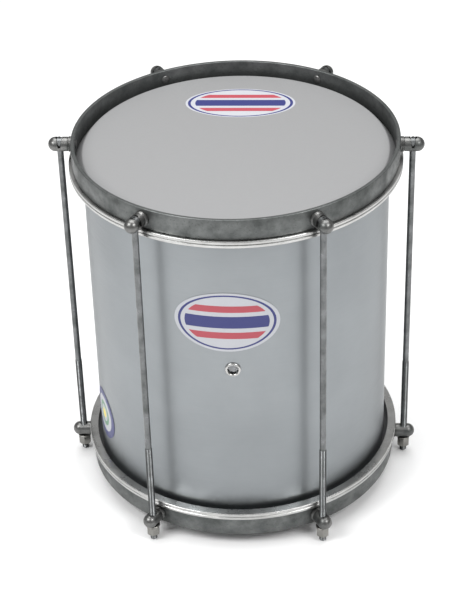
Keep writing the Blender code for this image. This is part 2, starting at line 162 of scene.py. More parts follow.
# The stage: each soft light has a place, a point that it looks at, a size and a power
DRUM_MIDDLE = (0.0, 0.0, 0.17)
SOFTBOXES = {
    "left_softbox": ((-0.9, -0.8, 1.3), (-0.35, -0.45, 0.0), (0.7, 0.7), 16.0),
    "right_softbox": ((0.9, -0.9, 1.3), (0.4, -0.5, 0.0), (0.6, 0.6), 12.0),
    "top_softbox": ((0.0, 0.3, 1.8), DRUM_MIDDLE, (1.6, 1.2), 26.0),
    "vent_glow": ((0.0, 0.02, 0.2), (0.0, 0.12, 0.14), (0.05, 0.05), 0.4),
}
FLOOR_HALF = 4.0
FLOOR_SQUARES = 8
FLOOR_DROP = 0.0002
FLOOR_TONES = (0.93, 0.95)
FLOOR_ROUGHNESS = 0.75

# Finishes: roughness from its low to its high end, and the scales of the noise
SHELL_ROUGHNESS = (0.34, 0.46)
HOOP_ROUGHNESS = (0.36, 0.58)
LUG_ROUGHNESS = (0.28, 0.5)
ROD_ROUGHNESS = (0.24, 0.42)
EYELET_ROUGHNESS = (0.2, 0.32)
FLESH_ROUGHNESS = (0.22, 0.36)
WASHER_ROUGHNESS = (0.28, 0.42)
NUT_ROUGHNESS = (0.22, 0.38)
FILM_ROUGHNESS = (0.36, 0.5)
PAPER_ROUGHNESS = (0.3, 0.42)
PAPER_SCALE = 200.0
BRUSHING_STRETCH = (6, 6, 900)
DRAWN_STRETCH = (8, 8, 700)
STAIN_SCALE = 14.0
PATINA_SCALE = 60.0
SPECK_SCALE = 520.0
STAIN_SHADE = 0.88
SPECK_SHADE = 0.45
DRAWN_SHADE = 0.8
FILM_CLOUD_SHADE = 0.96

# The plain designs, in shares of a label's half width and half height
OVAL_EDGE = 0.97
OVAL_LINE = (0.88, 0.93)
OVAL_INSIDE = 0.80
OVAL_BAR = 0.2
OVAL_STRIPES = (0.34, 0.56)
SEAL_RIM = 0.74
SEAL_RING = (0.34, 0.5)
SEAL_SPOT = 0.2

# Sizes worked out from the ones above
SHELL_HALF = SHELL_HEIGHT / 2
BASE = ROD_STANDOUT + HOOP_RISE
MIDDLE = BASE + FILM_THICKNESS + SEAT_GAP + SHELL_HALF
FILM_PLANE = SHELL_HALF + SEAT_GAP + FILM_THICKNESS
HOOP_TOP = FILM_PLANE + HOOP_RISE
HOOP_BASE = HOOP_TOP - HOOP_HEIGHT
FLESH_TOP = HOOP_BASE - SEAT_GAP
FLESH_BASE = FLESH_TOP - FLESH_HEIGHT
FLESH_INNER = SHELL_RADIUS + FLESH_SHELL_GAP
FLESH_OUTER = FLESH_INNER + FLESH_WIDTH
SLOT_INNER = FLESH_INNER + FLESH_LIP_THICKNESS
SLOT_WIDTH = FILM_THICKNESS + 2 * SEAT_GAP
SLOT_MIDDLE = SLOT_INNER + SLOT_WIDTH / 2
HOOP_INNER = FLESH_INNER + HOOP_INSET
HOOP_OUTER = HOOP_INNER + HOOP_THICKNESS
ROD_CIRCLE = HOOP_OUTER + ROD_HOOP_DISTANCE
LUG_OFFSET = HOOP_TOP - HOOP_HEIGHT / 2
TOP_LUG_HEIGHT = MIDDLE + LUG_OFFSET
BOTTOM_LUG_HEIGHT = MIDDLE - LUG_OFFSET
LUG_RADIUS = LUG_DIAMETER / 2
ROD_HOLE_DIAMETER = THREAD_DIAMETER + 2 * SEAT_GAP
VENT_LEVEL = BASE + VENT_HEIGHT
BADGE_RISE = VENT_HEIGHT + EYELET_FLANGE_DIAMETER / 2 + BADGE_VENT_GAP + BADGE_HEIGHT / 2


def link(made):
    """Link an object to the scene."""
    bpy.context.scene.collection.objects.link(made)
    return made


def evaluated_mesh(item):
    """Return a new mesh of an object with its modifiers applied."""
    bpy.context.view_layer.update()
    graph = bpy.context.evaluated_depsgraph_get()
    return bpy.data.meshes.new_from_object(item.evaluated_get(graph))


def turned(name, outline, steps, closed=True):
    """Turn an outline of (radius, height) points round Z."""
    mesh = bpy.data.meshes.new(name)
    edges = [(i, i + 1) for i in range(len(outline) - 1)]
    if closed:
        edges.append((len(outline) - 1, 0))
    mesh.from_pydata([(r, 0.0, h) for r, h in outline], edges, [])
    made = link(bpy.data.objects.new(name, mesh))
    screw = made.modifiers.new("Turn", "SCREW")
    screw.axis = "Z"
    screw.angle = 2 * math.pi
    screw.steps = steps
    screw.render_steps = steps
    screw.use_merge_vertices = True
    screw.merge_threshold = MERGE_DISTANCE
    screw.use_smooth_shade = True
    return made


def cylinder(name, diameter, low, high, steps=ROUND_STEPS):
    """Return a cylinder along Z between two heights."""
    mesh = bpy.data.meshes.new(name)
    made = bmesh.new()
    bmesh.ops.create_cone(
        made,
        cap_ends=True,
        segments=steps,
        radius1=diameter / 2,
        radius2=diameter / 2,
        depth=high - low,
        matrix=Matrix.Translation((0, 0, (low + high) / 2)),
    )
    made.to_mesh(mesh)
    made.free()
    return link(bpy.data.objects.new(name, mesh))


def prism(name, outline, depth):
    """Return an outline in the XZ plane, thickened along Y about the plane."""
    made = bmesh.new()
    front = [made.verts.new((x, -depth / 2, z)) for x, z in outline]
    face = made.faces.new(front)
    extruded = bmesh.ops.extrude_face_region(made, geom=[face])
    moved = [v for v in extruded["geom"] if isinstance(v, bmesh.types.BMVert)]
    bmesh.ops.translate(made, verts=moved, vec=(0, depth, 0))
    bmesh.ops.recalc_face_normals(made, faces=made.faces)
    mesh = bpy.data.meshes.new(name)
    made.to_mesh(mesh)
    made.free()
    return link(bpy.data.objects.new(name, mesh))


def combine(base, tool, operation):
    """Cut base with tool, join them, or keep what they share."""
    boolean = base.modifiers.new(operation.title(), "BOOLEAN")
    boolean.operation = operation
    boolean.object = tool
    boolean.solver = "EXACT"
    made = link(bpy.data.objects.new(base.name, evaluated_mesh(base)))
    bpy.data.objects.remove(base)
    bpy.data.objects.remove(tool)
    return made


def rounded(shape, width, segments=2, angle=35):
    """Round the sharp edges of a shape."""
    bevel = shape.modifiers.new("Round", "BEVEL")
    bevel.width = width
    bevel.segments = segments
    bevel.limit_method = "ANGLE"
    bevel.angle_limit = math.radians(angle)
    bevel.use_clamp_overlap = True
    return shape


def finish(shape, places, surface):
    """Put a copy of a shape at each (node, body, matrix), in the node's place."""
    mesh = evaluated_mesh(shape)
    mesh.transform(shape.matrix_world)
    bpy.data.objects.remove(shape)
    mesh.materials.clear()
    mesh.materials.append(surface)
    mesh.shade_smooth()
    mesh.set_sharp_from_angle(angle=SMOOTH_ANGLE)
    for node, body, matrix in places:
        piece = link(bpy.data.objects.new(f"{node}_finished", mesh))
        piece.matrix_world = matrix
        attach(piece, body)
        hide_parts(node)


def rod_angle(index):
    """Return the angle of a rod round the drum."""
    return 2 * math.pi * index / ROD_COUNT


def at_rods(node, body, height):
    """Return a (node, body, matrix) for each rod, with X outwards; body may name the rod by {}."""
    places = []
    for i in range(ROD_COUNT):
        turn = Matrix.Rotation(rod_angle(i), 4, "Z")
        matrix = turn @ Matrix.Translation((ROD_CIRCLE, 0, height))
        places.append((f"{node}_{i + 1}", body.format(i + 1), matrix))
    return places


def mirrored(outline, side):
    """Place an outline, whose heights count outwards from the middle, at the top or bottom end."""
    if side > 0:
        return [(r, MIDDLE + h) for r, h in outline]
    return [(r, MIDDLE - h) for r, h in reversed(outline)]


def arc(centre, radius, start, end, steps):
    """Return the points of an arc between two angles, both ends included."""
    points = []
    for i in range(steps + 1):
        angle = start + (end - start) * i / steps
        points.append((centre[0] + radius * math.cos(angle), centre[1] + radius * math.sin(angle)))
    return points


def outward(angle, radius, height):
    """Return the matrix that turns Z to point out of the drum."""
    place = Matrix.Rotation(angle, 4, "Z") @ Matrix.Translation((radius, 0, height))
    return place @ Matrix.Rotation(math.pi / 2, 4, "Y")


class Paint:
    """Adds nodes to one material, a call for each node."""

    def __init__(self, name, roughness, metallic):
        self.made = bpy.data.materials.new(name)
        self.made.use_nodes = True
        self.tree = self.made.node_tree
        self.shader = self.tree.nodes["Principled BSDF"]
        self.shader.inputs["Roughness"].default_value = roughness
        self.shader.inputs["Metallic"].default_value = metallic
        self.place = self.tree.nodes.new("ShaderNodeTexCoord").outputs["Object"]

    def feed(self, socket, value):
        """Link a socket to an output, or set it to a number or a colour."""
        if isinstance(value, bpy.types.NodeSocket):
            self.tree.links.new(value, socket)
        else:
            socket.default_value = value

    def sum(self, operation, first, second=0.0):
        """A Math node."""
        node = self.tree.nodes.new("ShaderNodeMath")
        node.operation = operation
        self.feed(node.inputs[0], first)
        self.feed(node.inputs[1], second)
        return node.outputs[0]

    def length(self, across, up):
        """The distance of a place from the middle of a design."""
        first = self.sum("POWER", across, 2.0)
        second = self.sum("POWER", up, 2.0)
        return self.sum("SQRT", self.sum("ADD", first, second))

    def axes(self):
        """The object's X, Y and Z."""
        split = self.tree.nodes.new("ShaderNodeSeparateXYZ")
        self.feed(split.inputs[0], self.place)
        return split.outputs

    def stretched(self, scale):
        """The place on the object, stretched along its axes."""
        node = self.tree.nodes.new("ShaderNodeMapping")
        self.feed(node.inputs["Vector"], self.place)
        node.inputs["Scale"].default_value = scale
        return node.outputs[0]

    def noise(self, vector, scale, detail=4.0, roughness=0.55):
        """A Noise Texture's value."""
        node = self.tree.nodes.new("ShaderNodeTexNoise")
        self.feed(node.inputs["Vector"], vector)
        node.inputs["Scale"].default_value = scale
        node.inputs["Detail"].default_value = detail
        node.inputs["Roughness"].default_value = roughness
        return node.outputs[0]

    def span(self, value, low, high, start=0.3, end=0.7):
        """A value from a noise spread over a range."""
        node = self.tree.nodes.new("ShaderNodeMapRange")
        self.feed(node.inputs["Value"], value)
        limits = {"From Min": start, "From Max": end, "To Min": low, "To Max": high}
        for socket, number in limits.items():
            node.inputs[socket].default_value = number
        return node.outputs[0]

    def mix(self, share, first, second):
        """A mix of two colours."""
        node = self.tree.nodes.new("ShaderNodeMix")
        node.data_type = "RGBA"
        self.feed(node.inputs[0], share)
        self.feed(node.inputs[6], first)
        self.feed(node.inputs[7], second)
        return node.outputs[2]

    def bump(self, height, strength, distance=0.0003):
        """Bump on the shader's normal."""
        node = self.tree.nodes.new("ShaderNodeBump")
        node.inputs["Strength"].default_value = strength
        node.inputs["Distance"].default_value = distance
        self.feed(node.inputs["Height"], height)
        self.feed(self.shader.inputs["Normal"], node.outputs[0])

    def colour(self, value):
        """The shader's base colour."""
        self.feed(self.shader.inputs["Base Color"], value)

    def rough(self, value):
        """The shader's roughness."""
        self.feed(self.shader.inputs["Roughness"], value)


def opaque(colour):
    """A colour with its alpha."""
    return (*tuple(colour)[:3], 1.0)


def shaded(colour, share):
    """A darker shade of a colour."""
    return opaque([part * share for part in tuple(colour)[:3]])


def satin_aluminium(colours):
    """The shell: fine brushing round the drum, faint stains and a satin sheen."""
    paint = Paint("satin_aluminium_shell", 0.4, 1.0)
    brushing = paint.noise(paint.stretched(BRUSHING_STRETCH), 6.0, 3.0)
    stains = paint.noise(paint.place, STAIN_SCALE, 5.0)
    base = opaque(colours.shell)
    paint.colour(paint.mix(paint.span(stains, 0.0, 1.0), base, shaded(base, STAIN_SHADE)))
    paint.rough(paint.span(brushing, *SHELL_ROUGHNESS))
    paint.bump(brushing, 0.05, 0.0002)
    return paint.made


def patina_steel(name, base, spots, rough_low, rough_high):
    """Dull plating: cloudy light and dark patches, small specks and a soft grain."""
    paint = Paint(name, rough_low, 1.0)
    clouds = paint.noise(paint.place, PATINA_SCALE, 8.0, 0.65)
    specks = paint.noise(paint.place, SPECK_SCALE, 3.0, 0.6)
    cloudy = paint.mix(paint.span(clouds, 0.0, 1.0, 0.35, 0.65), opaque(base), opaque(spots))
    speckled = paint.span(specks, 0.0, 0.7, 0.58, 0.72)
    paint.colour(paint.mix(speckled, cloudy, shaded(base, SPECK_SHADE)))
    paint.rough(paint.span(clouds, rough_low, rough_high))
    paint.bump(paint.sum("ADD", clouds, specks), 0.12, 0.0002)
    return paint.made


def bright_metal(name, base, rough_low, rough_high):
    """Bright metal with fine drawn lines."""
    paint = Paint(name, rough_low, 1.0)
    lines = paint.noise(paint.stretched(DRAWN_STRETCH), 8.0, 4.0)
    clouds = paint.noise(paint.place, 90.0, 4.0)
    tone = paint.span(clouds, 0.0, 1.0)
    paint.colour(paint.mix(tone, opaque(base), shaded(base, DRAWN_SHADE)))
    paint.rough(paint.span(lines, rough_low, rough_high))
    paint.bump(lines, 0.06, 0.0002)
    return paint.made


def between(paint, value, low, high):
    """1 where a value lies between two limits."""
    above = paint.sum("GREATER_THAN", value, low)
    below = paint.sum("LESS_THAN", value, high)
    return paint.sum("MULTIPLY", above, below)


def oval_design(paint, across, up, half, ground, colours):
    """A plain oval: a rim line, a wide bar across the middle and a bar above and below it."""
    flat = paint.sum("DIVIDE", across, half[0])
    tall = paint.sum("DIVIDE", up, half[1])
    ring = paint.length(flat, tall)
    height = paint.sum("ABSOLUTE", tall)
    inside = paint.sum("LESS_THAN", ring, OVAL_INSIDE)
    bar = paint.sum("MULTIPLY", paint.sum("LESS_THAN", height, OVAL_BAR), inside)
    stripes = paint.sum("MULTIPLY", between(paint, height, *OVAL_STRIPES), inside)
    white = paint.sum("LESS_THAN", ring, OVAL_EDGE)
    drawn = paint.mix(white, ground, opaque(colours.label_ground))
    drawn = paint.mix(stripes, drawn, opaque(colours.print_red))
    drawn = paint.mix(bar, drawn, opaque(colours.print_navy))
    return paint.mix(between(paint, ring, *OVAL_LINE), drawn, opaque(colours.print_navy))


def milky_film(colours):
    """The heads: milky film with faint clouds. Returns the material and its paint."""
    paint = Paint("milky_film_plain", 0.42, 0.0)
    clouds = paint.noise(paint.place, 12.0, 5.0)
    base = opaque(colours.film)
    tone = paint.span(clouds, 0.0, 1.0)
    paint.colour(paint.mix(tone, base, shaded(base, FILM_CLOUD_SHADE)))
    paint.rough(paint.span(paint.noise(paint.place, 300.0), *FILM_ROUGHNESS))
    paint.bump(paint.noise(paint.place, 40.0), 0.04)
    return paint.made, paint


def printed_film(colours):
    """The top head: the same film with a plain oval print."""
    made, paint = milky_film(colours)
    made.name = "milky_film_printed"
    x, y, z = paint.axes()
    across = paint.sum("SUBTRACT", x, PRINT_CENTRE[0])
    up = paint.sum("SUBTRACT", y, PRINT_CENTRE[1])
    ground = opaque(colours.film)
    paint.colour(oval_design(paint, across, up, PRINT_HALF, ground, colours))
    return made


def label_paper(name, angle, level, half, colours):
    """A glossy label with the oval design, laid out along the shell's curve."""
    paint = Paint(name, 0.35, 0.0)
    x, y, z = paint.axes()
    turn = paint.sum("SUBTRACT", paint.sum("ARCTAN2", y, x), angle)
    across = paint.sum("MULTIPLY", turn, SHELL_RADIUS)
    up = paint.sum("SUBTRACT", z, level)
    paint.colour(oval_design(paint, across, up, half, opaque(colours.label_ground), colours))
    paint.rough(paint.span(paint.noise(paint.place, PAPER_SCALE), *PAPER_ROUGHNESS))
    paint.bump(paint.noise(paint.place, 900.0), 0.03)
    return paint.made


def seal_paper(colours):
    """A round label: navy rim, pale ground, green ring and yellow spot."""
    paint = Paint("side_seal_paper", 0.35, 0.0)
    x, y, z = paint.axes()
    turn = paint.sum("SUBTRACT", paint.sum("ARCTAN2", y, x), SEAL_ANGLE)
    across = paint.sum("MULTIPLY", turn, SHELL_RADIUS / (SEAL_DIAMETER / 2))
    up = paint.sum("DIVIDE", paint.sum("SUBTRACT", z, BASE + SEAL_RISE), SEAL_DIAMETER / 2)
    ring = paint.length(across, up)
    ground, navy = opaque(colours.label_ground), opaque(colours.print_navy)
    drawn = paint.mix(paint.sum("GREATER_THAN", ring, SEAL_RIM), ground, navy)
    drawn = paint.mix(between(paint, ring, *SEAL_RING), drawn, opaque(colours.seal_green))
    drawn = paint.mix(paint.sum("LESS_THAN", ring, SEAL_SPOT), drawn, opaque(colours.seal_yellow))
    paint.colour(drawn)
    paint.rough(paint.span(paint.noise(paint.place, PAPER_SCALE), *PAPER_ROUGHNESS))
    return paint.made


def build_shell(colours):
    """The tube with turned-in ends and the vent's hole."""
    centre = (SHELL_RADIUS - EDGE_BEND_RADIUS, SHELL_HALF - EDGE_BEND_RADIUS)
    lip_end = SHELL_RADIUS - EDGE_LIP_REACH
    outer_bend = arc(centre, EDGE_BEND_RADIUS, math.pi / 2, 0.0, BEND_STEPS)
    inner_bend = arc(centre, EDGE_BEND_RADIUS - SHELL_WALL, 0.0, math.pi / 2, 2)
    outline = [(lip_end, MIDDLE + SHELL_HALF)] + mirrored(outer_bend, 1)
    outline += mirrored(outer_bend, -1) + [(lip_end, MIDDLE - SHELL_HALF)]
    outline += [(lip_end, MIDDLE - SHELL_HALF + SHELL_WALL)] + mirrored(inner_bend, -1)
    outline += mirrored(inner_bend, 1) + [(lip_end, MIDDLE + SHELL_HALF - SHELL_WALL)]
    tube = turned("shell_tube", outline, RING_STEPS)
    hole = EYELET_BORE + 2 * (EYELET_NECK_WALL + SEAT_GAP)
    drill = cylinder("vent_drill", hole, -SHELL_WALL - PAST, PAST)
    drill.matrix_world = outward(-math.pi / 2, SHELL_RADIUS, VENT_LEVEL)
    tube = combine(tube, drill, "DIFFERENCE")
    finish(tube, [("shell", "drum", Matrix())], satin_aluminium(colours))


def build_vent(colours):
    """The eyelet: a rolled flange outside, a neck and a flattened tail inside."""
    bore = EYELET_BORE / 2
    neck = bore + EYELET_NECK_WALL
    flange = EYELET_FLANGE_DIAMETER / 2
    tail = EYELET_TAIL_DIAMETER / 2
    half = (flange - bore) / 2
    crest = []
    for x, y in arc((0.0, 0.0), 1.0, math.pi, 0.0, BEND_STEPS):
        crest.append((bore + half + half * x, SEAT_GAP + (EYELET_CREST_HEIGHT - SEAT_GAP) * y))
    outline = crest + [
        (neck, SEAT_GAP),
        (neck, EYELET_TAIL_FACE),
        (tail, EYELET_TAIL_FACE),
        (tail, EYELET_TAIL_FACE - EYELET_TAIL_THICKNESS),
        (bore, EYELET_TAIL_FACE - EYELET_TAIL_THICKNESS),
    ]
    eyelet = turned("vent_ring", outline, ROUND_STEPS)
    place = outward(-math.pi / 2, SHELL_RADIUS, VENT_LEVEL)
    surface = bright_metal("eyelet_metal", colours.bright, *EYELET_ROUGHNESS)
    finish(eyelet, [("vent_eyelet", "drum", place)], surface)


def film_line():
    """The middle line of the film: across the drum, over the bearing edge and into the slot."""
    bend = EDGE_BEND_RADIUS + SEAT_GAP + FILM_THICKNESS / 2
    centre = Vector((SHELL_RADIUS - EDGE_BEND_RADIUS, SHELL_HALF - EDGE_BEND_RADIUS))
    slot = Vector((SLOT_MIDDLE, FLESH_TOP))
    reach = slot - centre
    leave = math.atan2(reach.y, reach.x) + math.acos(bend / reach.length)
    over_edge = arc(centre, bend, math.pi / 2, leave, BEND_STEPS)
    start = [(0.0, FILM_PLANE - FILM_THICKNESS / 2)]
    return start + over_edge + [tuple(slot), (SLOT_MIDDLE, FLESH_TOP - SKIRT_DEPTH)]


def build_heads(colours):
    """Two films of even thickness, the upper one printed."""
    plain, _ = milky_film(colours)
    for name, side, surface in (("top_head", 1, printed_film(colours)), ("bottom_head", -1, plain)):
        film = turned(name + "_film", mirrored(film_line(), side), RING_STEPS, closed=False)
        thicken = film.modifiers.new("Film", "SOLIDIFY")
        thicken.thickness = FILM_THICKNESS
        thicken.offset = 0.0
        thicken.use_even_offset = True
        finish(film, [(name, "drum", Matrix())], surface)


def build_flesh_hoops(colours):
    """Channel rings with rounded lips, a groove outside and the film's slot."""
    surface = bright_metal("flesh_hoop_metal", colours.bright, *FLESH_ROUGHNESS)
    radius = FLESH_EDGE_ROUND
    middle = (FLESH_TOP + FLESH_BASE) / 2
    floor = FLESH_TOP - SKIRT_DEPTH - SEAT_GAP
    edge = FLESH_OUTER - radius
    outline = [(SLOT_INNER + SLOT_WIDTH, FLESH_TOP)]
    outline += arc((edge, FLESH_TOP - radius), radius, math.pi / 2, 0.0, BEND_STEPS // 2)
    outline += [
        (FLESH_OUTER, middle + FLESH_GROOVE_WIDTH / 2),
        (FLESH_OUTER - FLESH_GROOVE_DEPTH, middle),
        (FLESH_OUTER, middle - FLESH_GROOVE_WIDTH / 2),
    ]
    outline += arc((edge, FLESH_BASE + radius), radius, 0.0, -math.pi / 2, BEND_STEPS // 2)
    outline += [
        (FLESH_INNER, FLESH_BASE),
        (FLESH_INNER, FLESH_TOP - FLESH_LIP_DROP),
        (SLOT_INNER, FLESH_TOP - FLESH_LIP_DROP),
        (SLOT_INNER, floor),
        (SLOT_INNER + SLOT_WIDTH, floor),
    ]
    for name, side in (("top_flesh_hoop", 1), ("bottom_flesh_hoop", -1)):
        ring = turned(name + "_ring", mirrored(outline, side), RING_STEPS)
        finish(ring, [(name, "drum", Matrix())], surface)


def build_counterhoops(colours):
    """Flat bars on edge with rounded corners, drilled for the lugs."""
    spots = colours.hoop_spots
    surface = patina_steel("counterhoop_plating", colours.hoop, spots, *HOOP_ROUGHNESS)
    hole = LUG_SPIGOT_DIAMETER + 2 * SEAT_GAP
    r = HOOP_ROUND
    quarter = math.pi / 2
    corners = (
        ((HOOP_OUTER - r, HOOP_TOP - r), quarter),
        ((HOOP_OUTER - r, HOOP_BASE + r), 0.0),
        ((HOOP_INNER + r, HOOP_BASE + r), -quarter),
        ((HOOP_INNER + r, HOOP_TOP - r), -2 * quarter),
    )
    outline = []
    for centre, start in corners:
        outline += arc(centre, r, start, start - quarter, HOOP_ROUND_STEPS)
    for name, side in (("top_counterhoop", 1), ("bottom_counterhoop", -1)):
        ring = turned(name + "_bar", mirrored(outline, side), RING_STEPS)
        for i in range(ROD_COUNT):
            drill = cylinder("drill", hole, -HOOP_THICKNESS - PAST, PAST)
            drill.matrix_world = outward(rod_angle(i), HOOP_OUTER, MIDDLE + side * LUG_OFFSET)
            ring = combine(ring, drill, "DIFFERENCE")
        finish(ring, [(name, "drum", Matrix())], surface)


def lug_blank(name):
    """The lug on the X axis: dome, barrel, grooved collar, spigot and tail, with the rod's hole."""
    shoulder = -ROD_HOOP_DISTANCE + SEAT_GAP
    tail_face = -ROD_HOOP_DISTANCE - HOOP_THICKNESS - SEAT_GAP
    dome_start = LUG_END_BEYOND_ROD - LUG_RADIUS
    barrel_start = shoulder + LUG_COLLAR_LENGTH
    collar = LUG_COLLAR_DIAMETER / 2
    groove = LUG_COLLAR_LENGTH / 5
    outline = []
    for i in range(2 * BEND_STEPS):
        angle = math.pi / 2 * i / (2 * BEND_STEPS)
        outline.append((LUG_RADIUS * math.sin(angle), dome_start + LUG_RADIUS * math.cos(angle)))
    outline += [
        (LUG_RADIUS, dome_start),
        (LUG_RADIUS, barrel_start + groove),
        (LUG_RADIUS - LUG_GROOVE_DEPTH, barrel_start + groove / 2),
        (LUG_RADIUS - LUG_GROOVE_DEPTH, barrel_start),
        (collar, barrel_start - groove),
        (collar, barrel_start - 2 * groove),
        (collar - LUG_GROOVE_DEPTH, barrel_start - 2.5 * groove),
        (collar, barrel_start - 3 * groove),
        (collar, shoulder),
        (LUG_SPIGOT_DIAMETER / 2, shoulder),
        (LUG_SPIGOT_DIAMETER / 2, tail_face),
        (LUG_TAIL_DIAMETER / 2, tail_face),
    ]
    tail = LUG_TAIL_DIAMETER / 2
    for turn in LUG_TAIL_ANGLES:
        outline.append((tail * math.cos(turn), tail_face - LUG_TAIL_HEIGHT * math.sin(turn)))
    outline.append((0.0, tail_face - LUG_TAIL_HEIGHT))
    lug = turned(name, outline, ROUND_STEPS, closed=False)
    mesh = evaluated_mesh(lug)
    mesh.transform(Matrix.Rotation(math.pi / 2, 4, "Y"))
    bpy.data.objects.remove(lug)
    lug = link(bpy.data.objects.new(name, mesh))
    hole = cylinder("rod_hole", ROD_HOLE_DIAMETER, -LUG_DIAMETER, LUG_DIAMETER)
    return combine(lug, hole, "DIFFERENCE")


def wedge_outline(bottom_width, top_width, bottom, top):
    """A symmetric four-sided outline that widens upwards."""
    low, high = bottom_width / 2, top_width / 2
    return [(-low, bottom), (low, bottom), (high, top), (-high, top)]


def notch_width(height, clearance):
    """The width of the notch at a height over the lug's axis, less a clearance on each side."""
    slope = (NOTCH_TOP_WIDTH - NOTCH_BOTTOM_WIDTH) / NOTCH_DEPTH
    return NOTCH_BOTTOM_WIDTH + slope * (height - LUG_RADIUS + NOTCH_DEPTH) - 2 * clearance


def build_lugs(colours):
    """Notched upper lugs and spot-faced lower ones."""
    surface = patina_steel("lug_plating", colours.lug, colours.hoop_spots, *LUG_ROUGHNESS)
    bottom = LUG_RADIUS - NOTCH_DEPTH
    top = LUG_RADIUS + PAST
    notch = wedge_outline(notch_width(bottom, 0.0), notch_width(top, 0.0), bottom, top)
    cutter = prism("notch", notch, LUG_COLLAR_DIAMETER + 2 * PAST)
    lug = combine(lug_blank("top_lug"), cutter, "DIFFERENCE")
    finish(lug, at_rods("top_lug", "drum", TOP_LUG_HEIGHT), surface)
    facing = cylinder("facing", SPOT_FACE_DIAMETER, -LUG_DIAMETER, SPOT_FACE_DEPTH - LUG_RADIUS)
    lug = combine(lug_blank("bottom_lug"), facing, "DIFFERENCE")
    finish(lug, at_rods("bottom_lug", "drum", BOTTOM_LUG_HEIGHT), surface)


def rod_head():
    """The rod's flattened end: fish-tailed, wedged, and crowned like the lug."""
    bottom = LUG_RADIUS - NOTCH_DEPTH + SEAT_GAP
    top = LUG_RADIUS + PAST
    wedge = wedge_outline(notch_width(bottom, SEAT_GAP), notch_width(top, SEAT_GAP), bottom, top)
    sides = wedge_outline(HEAD_ROOT_SPAN, HEAD_SPAN, bottom, LUG_RADIUS)
    tail = prism("fish_tail", sides, LUG_DIAMETER)
    tail.matrix_world = Matrix.Rotation(math.pi / 2, 4, "Z")
    head = combine(prism("rod_head", wedge, HEAD_SPAN), tail, "INTERSECT")
    across = 2 * (LUG_RADIUS - HEAD_CROWN_DROP)
    crown = cylinder("crown", across, -LUG_DIAMETER, LUG_DIAMETER, 2 * ROUND_STEPS)
    crown.matrix_world = Matrix.Rotation(math.pi / 2, 4, "Y")
    return combine(head, crown, "INTERSECT")


def thread_mesh(pitch):
    """The rolled thread as a tube whose radius follows a right-hand helix, with a rounded tip."""
    rows = int(THREAD_LENGTH / pitch * THREAD_ROWS_A_TURN)
    outer = THREAD_DIAMETER / 2
    points = [(0.0, 0.0, 0.0)]
    for row in range(rows + 1):
        z = THREAD_LENGTH * row / rows
        limit = outer - max(0.0, TIP_ROUND - z)
        fade = min(1.0, (THREAD_LENGTH - z) / pitch)
        for column in range(THREAD_ROUND_STEPS):
            turn = 2 * math.pi * column / THREAD_ROUND_STEPS
            phase = (z / pitch - column / THREAD_ROUND_STEPS) % 1.0
            cut = THREAD_DEPTH * abs(2 * phase - 1)
            radius = min(limit, (outer - cut) * fade + SHANK_DIAMETER / 2 * (1 - fade))
            points.append((radius * math.cos(turn), radius * math.sin(turn), z))
    points.append((0.0, 0.0, THREAD_LENGTH))
    faces = []
    for column in range(THREAD_ROUND_STEPS):
        after = (column + 1) % THREAD_ROUND_STEPS
        faces.append((0, 1 + after, 1 + column))
        for row in range(rows):
            low = 1 + row * THREAD_ROUND_STEPS
            high = low + THREAD_ROUND_STEPS
            faces.append((low + column, low + after, high + after, high + column))
        last = 1 + rows * THREAD_ROUND_STEPS
        faces.append((last + column, last + after, len(points) - 1))
    mesh = bpy.data.meshes.new("thread")
    mesh.from_pydata(points, [], faces)
    return mesh


def build_rods(colours, pitch):
    """Rods: shank, head and pip in one, with the threaded end below."""
    surface = patina_steel("rod_plating", colours.rod, colours.hoop_spots, *ROD_ROUGHNESS)
    shank = SHANK_DIAMETER / 2
    shank_top = TOP_LUG_HEIGHT + LUG_RADIUS - NOTCH_DEPTH + SHANK_DIAMETER / 4
    outline = [(0.0, shank_top), (shank, shank_top), (shank, THREAD_LENGTH), (0.0, THREAD_LENGTH)]
    rod = turned("rod", outline, ROUND_STEPS, closed=False)
    head = rod_head()
    head.matrix_world = Matrix.Translation((0, 0, TOP_LUG_HEIGHT))
    rod = combine(rod, head, "UNION")
    crown = TOP_LUG_HEIGHT + LUG_RADIUS - HEAD_CROWN_DROP
    pip = cylinder("pip", PIP_DIAMETER, crown - PIP_HEIGHT, crown + PIP_HEIGHT)
    rod = combine(rod, pip, "UNION")
    whole = bmesh.new()
    whole.from_mesh(rod.data)
    whole.from_mesh(thread_mesh(pitch))
    whole.to_mesh(rod.data)
    whole.free()
    finish(rod, at_rods("tension_rod", "drum", 0.0), surface)


def build_washers(colours):
    """Flat washers with rounded edges."""
    low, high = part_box("washer_1")
    outer = (high[0] - low[0]) / 2
    hole = THREAD_DIAMETER / 2 + SEAT_GAP
    thick = high[2] - low[2]
    edge = thick / 5
    outline = [
        (hole, thick),
        (outer - edge, thick),
        (outer, thick - edge),
        (outer, edge),
        (outer - edge, 0.0),
        (hole, 0.0),
    ]
    washer = turned("washer_ring", outline, ROUND_STEPS)
    surface = bright_metal("washer_zinc", colours.zinc, *WASHER_ROUGHNESS)
    finish(washer, at_rods("washer", "washer_{}_body", low[2]), surface)


